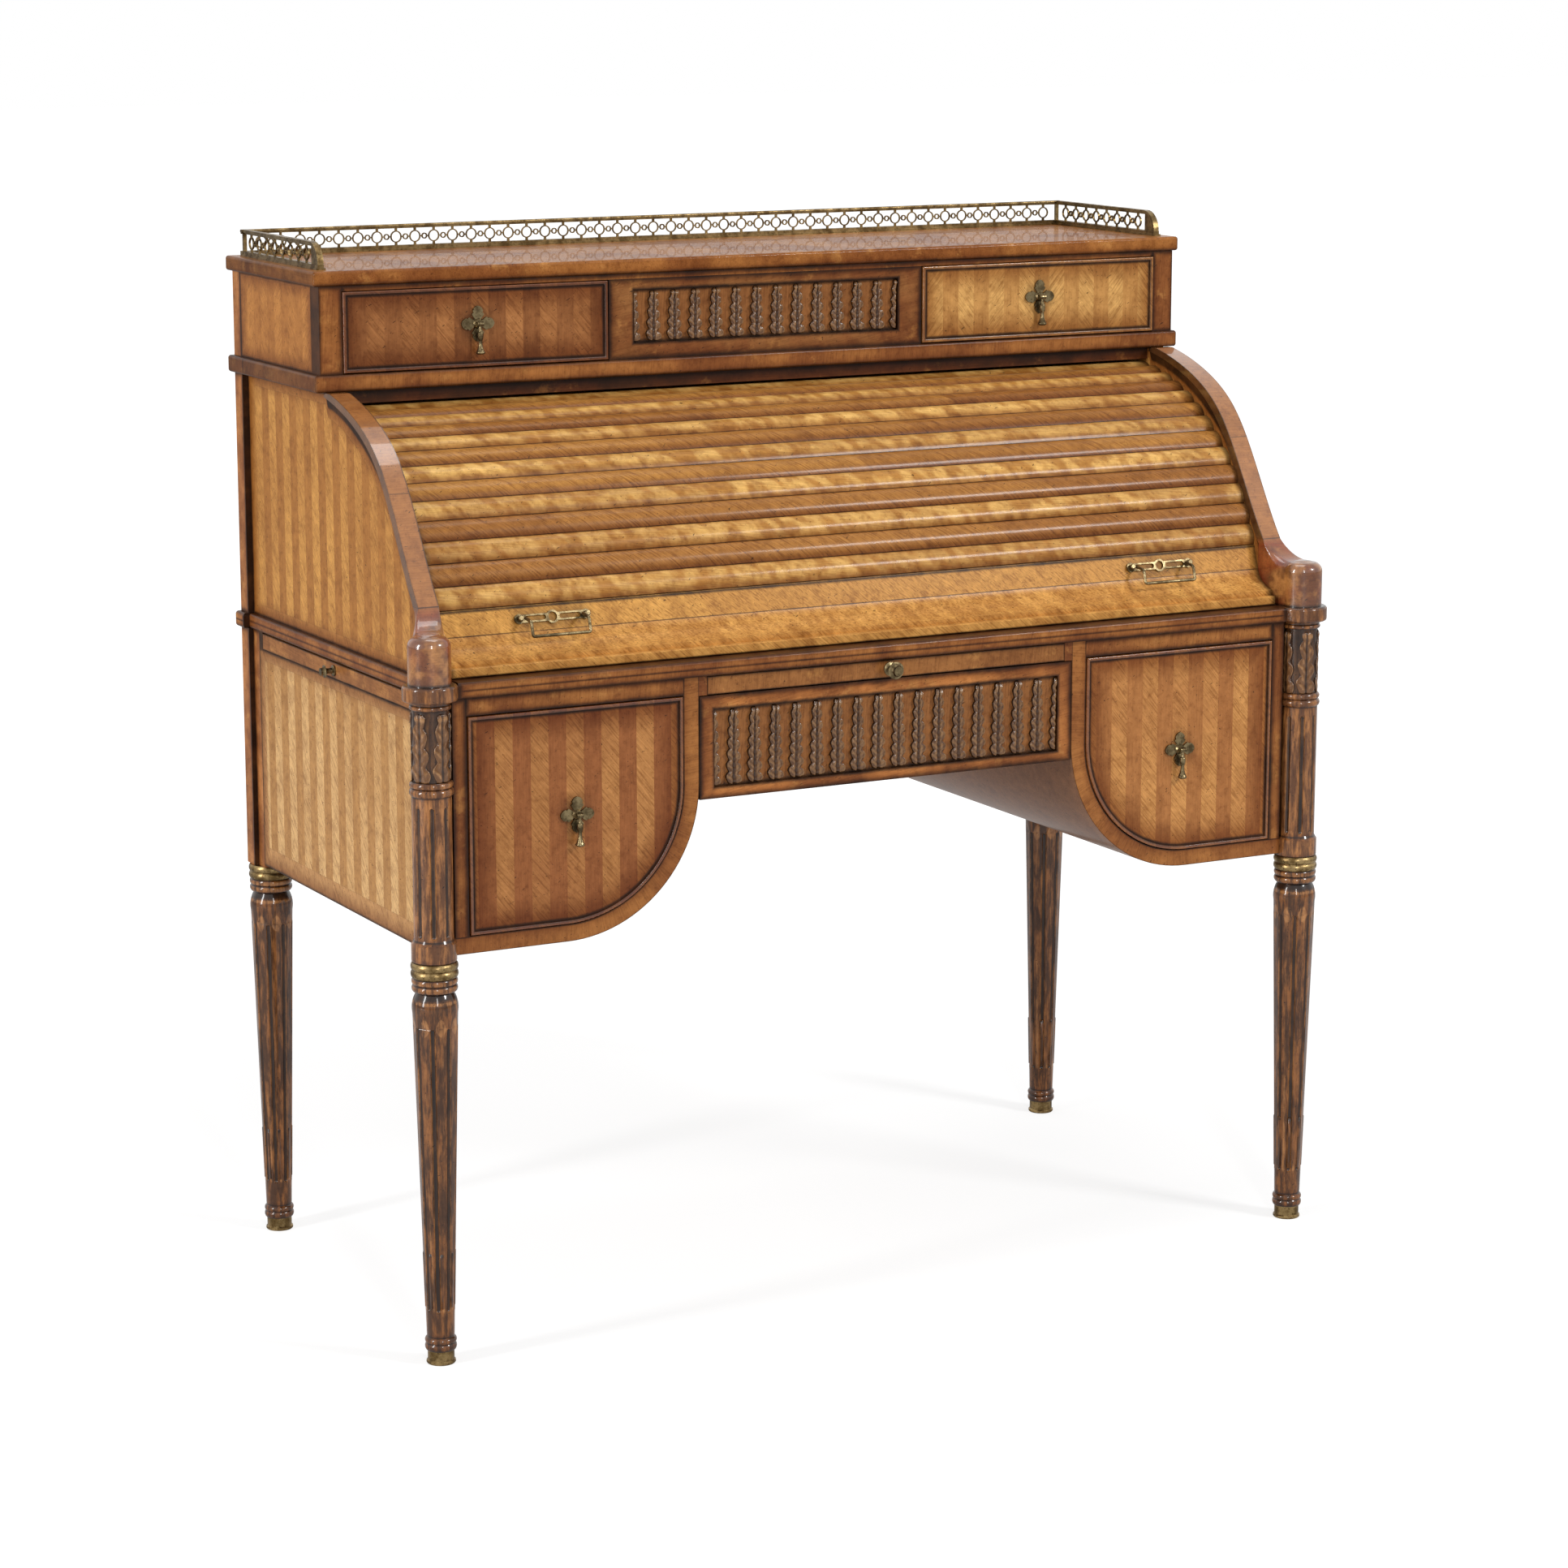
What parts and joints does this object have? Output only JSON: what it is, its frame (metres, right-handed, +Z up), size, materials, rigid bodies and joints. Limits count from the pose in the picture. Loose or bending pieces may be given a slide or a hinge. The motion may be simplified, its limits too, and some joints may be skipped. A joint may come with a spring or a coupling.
{
  "type": "roll top desk",
  "caption": "Inlaid writing desk with a slatted roll, fluted columns on turned legs, curved drawer pedestals, drawers above and a low brass gallery.",
  "frame": {"origin": "middle of the bounding box on the floor", "axes": "+X to the desk's right as seen from the front, +Y to its back, +Z up; the drawers face -Y"},
  "size_m": [1.159, 0.5803, 1.1765],
  "materials": {
    "veneer": "semi-gloss",
    "solid_wood": "semi-gloss",
    "carved_wood": "semi-gloss",
    "inner_wood": "satin",
    "brass": "aged",
    "canvas": "matt"
  },
  "bodies": {
    "carcass": {"back_panels": "inner_wood", "back_posts": "solid_wood", "centre_carved_panel": "carved_wood", "centre_frame": "veneer", "desk_moulding": "solid_wood", "dust_boards": "inner_wood", "frieze_rails": "solid_wood", "front_columns": "solid_wood", "front_corner_posts": "solid_wood", "gallery": "brass", "leg_ferrules": "brass", "leg_rings": "brass", "legs": "solid_wood", "pedestal_shell_left": "veneer", "pedestal_shell_right": "veneer", "pigeonholes": "inner_wood", "roll_head_rail": "solid_wood", "roll_rim_left": "solid_wood", "roll_rim_right": "solid_wood", "roll_side_left": "veneer", "roll_side_right": "veneer", "runners_and_guides": "inner_wood", "side_panels": "veneer", "top_slab": "solid_wood", "upper_dividers": "inner_wood", "upper_front_frame": "solid_wood", "upper_sides": "veneer", "waist_board": "solid_wood", "writing_bed": "veneer"},
    "tambour": {"roll_slats": "veneer", "roll_canvas": "canvas", "roll_lip": "veneer", "roll_handle_plates": "brass"},
    "bail_left": {"roll_bail_left": "brass"},
    "bail_right": {"roll_bail_right": "brass"},
    "upper_drawer_left": {"upper_drawer_front_left": "veneer", "upper_drawer_box_left": "inner_wood", "upper_pull_plate_left": "brass"},
    "upper_drawer_right": {"upper_drawer_front_right": "veneer", "upper_drawer_box_right": "inner_wood", "upper_pull_plate_right": "brass"},
    "upper_drop_left": {"upper_pull_drop_left": "brass"},
    "upper_drop_right": {"upper_pull_drop_right": "brass"},
    "pedestal_drawer_left": {"pedestal_drawer_front_left": "veneer", "pedestal_drawer_box_left": "inner_wood", "lower_pull_plate_left": "brass"},
    "pedestal_drawer_right": {"pedestal_drawer_front_right": "veneer", "pedestal_drawer_box_right": "inner_wood", "lower_pull_plate_right": "brass"},
    "lower_drop_left": {"lower_pull_drop_left": "brass"},
    "lower_drop_right": {"lower_pull_drop_right": "brass"},
    "knee_drawer": {"knee_drawer_front": "veneer", "knee_carved_panel": "carved_wood", "knee_drawer_box": "inner_wood"},
    "writing_slide": {"writing_slide": "veneer", "writing_slide_knob": "brass"},
    "side_slide_left": {"side_slide_left": "veneer", "side_slide_knob_left": "brass"},
    "side_slide_right": {"side_slide_right": "veneer", "side_slide_knob_right": "brass"}
  },
  "joints": [
    {"name": "roll_open", "type": "hinge", "parent": "carcass", "child": "tambour", "pos_m": [0, 0.064, 0.712], "axis": [-1, 0, 0], "range_deg": [0, 50]},
    {"name": "bail_left_swing", "type": "hinge", "parent": "tambour", "child": "bail_left", "pos_m": [-0.385, -0.21493, 0.79291], "axis": [-1, 0, 0], "range_deg": [-20, 80]},
    {"name": "bail_right_swing", "type": "hinge", "parent": "tambour", "child": "bail_right", "pos_m": [0.385, -0.21493, 0.79291], "axis": [-1, 0, 0], "range_deg": [-20, 80]},
    {"name": "upper_drawer_left_slide", "type": "slide", "parent": "carcass", "child": "upper_drawer_left", "axis": [0, -1, 0], "range_m": [0, 0.17]},
    {"name": "pedestal_drawer_left_slide", "type": "slide", "parent": "carcass", "child": "pedestal_drawer_left", "axis": [0, -1, 0], "range_m": [0, 0.38]},
    {"name": "upper_drawer_right_slide", "type": "slide", "parent": "carcass", "child": "upper_drawer_right", "axis": [0, -1, 0], "range_m": [0, 0.17]},
    {"name": "pedestal_drawer_right_slide", "type": "slide", "parent": "carcass", "child": "pedestal_drawer_right", "axis": [0, -1, 0], "range_m": [0, 0.38]},
    {"name": "knee_drawer_slide", "type": "slide", "parent": "carcass", "child": "knee_drawer", "axis": [0, -1, 0], "range_m": [0, 0.35]},
    {"name": "writing_slide_pull", "type": "slide", "parent": "carcass", "child": "writing_slide", "axis": [0, -1, 0], "range_m": [0, 0.28]},
    {"name": "side_slide_left_pull", "type": "slide", "parent": "carcass", "child": "side_slide_left", "axis": [-1, 0, 0], "range_m": [0, 0.2]},
    {"name": "side_slide_right_pull", "type": "slide", "parent": "carcass", "child": "side_slide_right", "axis": [1, 0, 0], "range_m": [0, 0.2]},
    {"name": "upper_drop_left_swing", "type": "hinge", "parent": "upper_drawer_left", "child": "upper_drop_left", "pos_m": [-0.363, 0.016, 1.083], "axis": [-1, 0, 0], "range_deg": [0, 85]},
    {"name": "lower_drop_left_swing", "type": "hinge", "parent": "pedestal_drawer_left", "child": "lower_drop_left", "pos_m": [-0.383, -0.27, 0.5852], "axis": [-1, 0, 0], "range_deg": [0, 85]},
    {"name": "upper_drop_right_swing", "type": "hinge", "parent": "upper_drawer_right", "child": "upper_drop_right", "pos_m": [0.363, 0.016, 1.083], "axis": [-1, 0, 0], "range_deg": [0, 85]},
    {"name": "lower_drop_right_swing", "type": "hinge", "parent": "pedestal_drawer_right", "child": "lower_drop_right", "pos_m": [0.383, -0.27, 0.5852], "axis": [-1, 0, 0], "range_deg": [0, 85]}
  ]
}
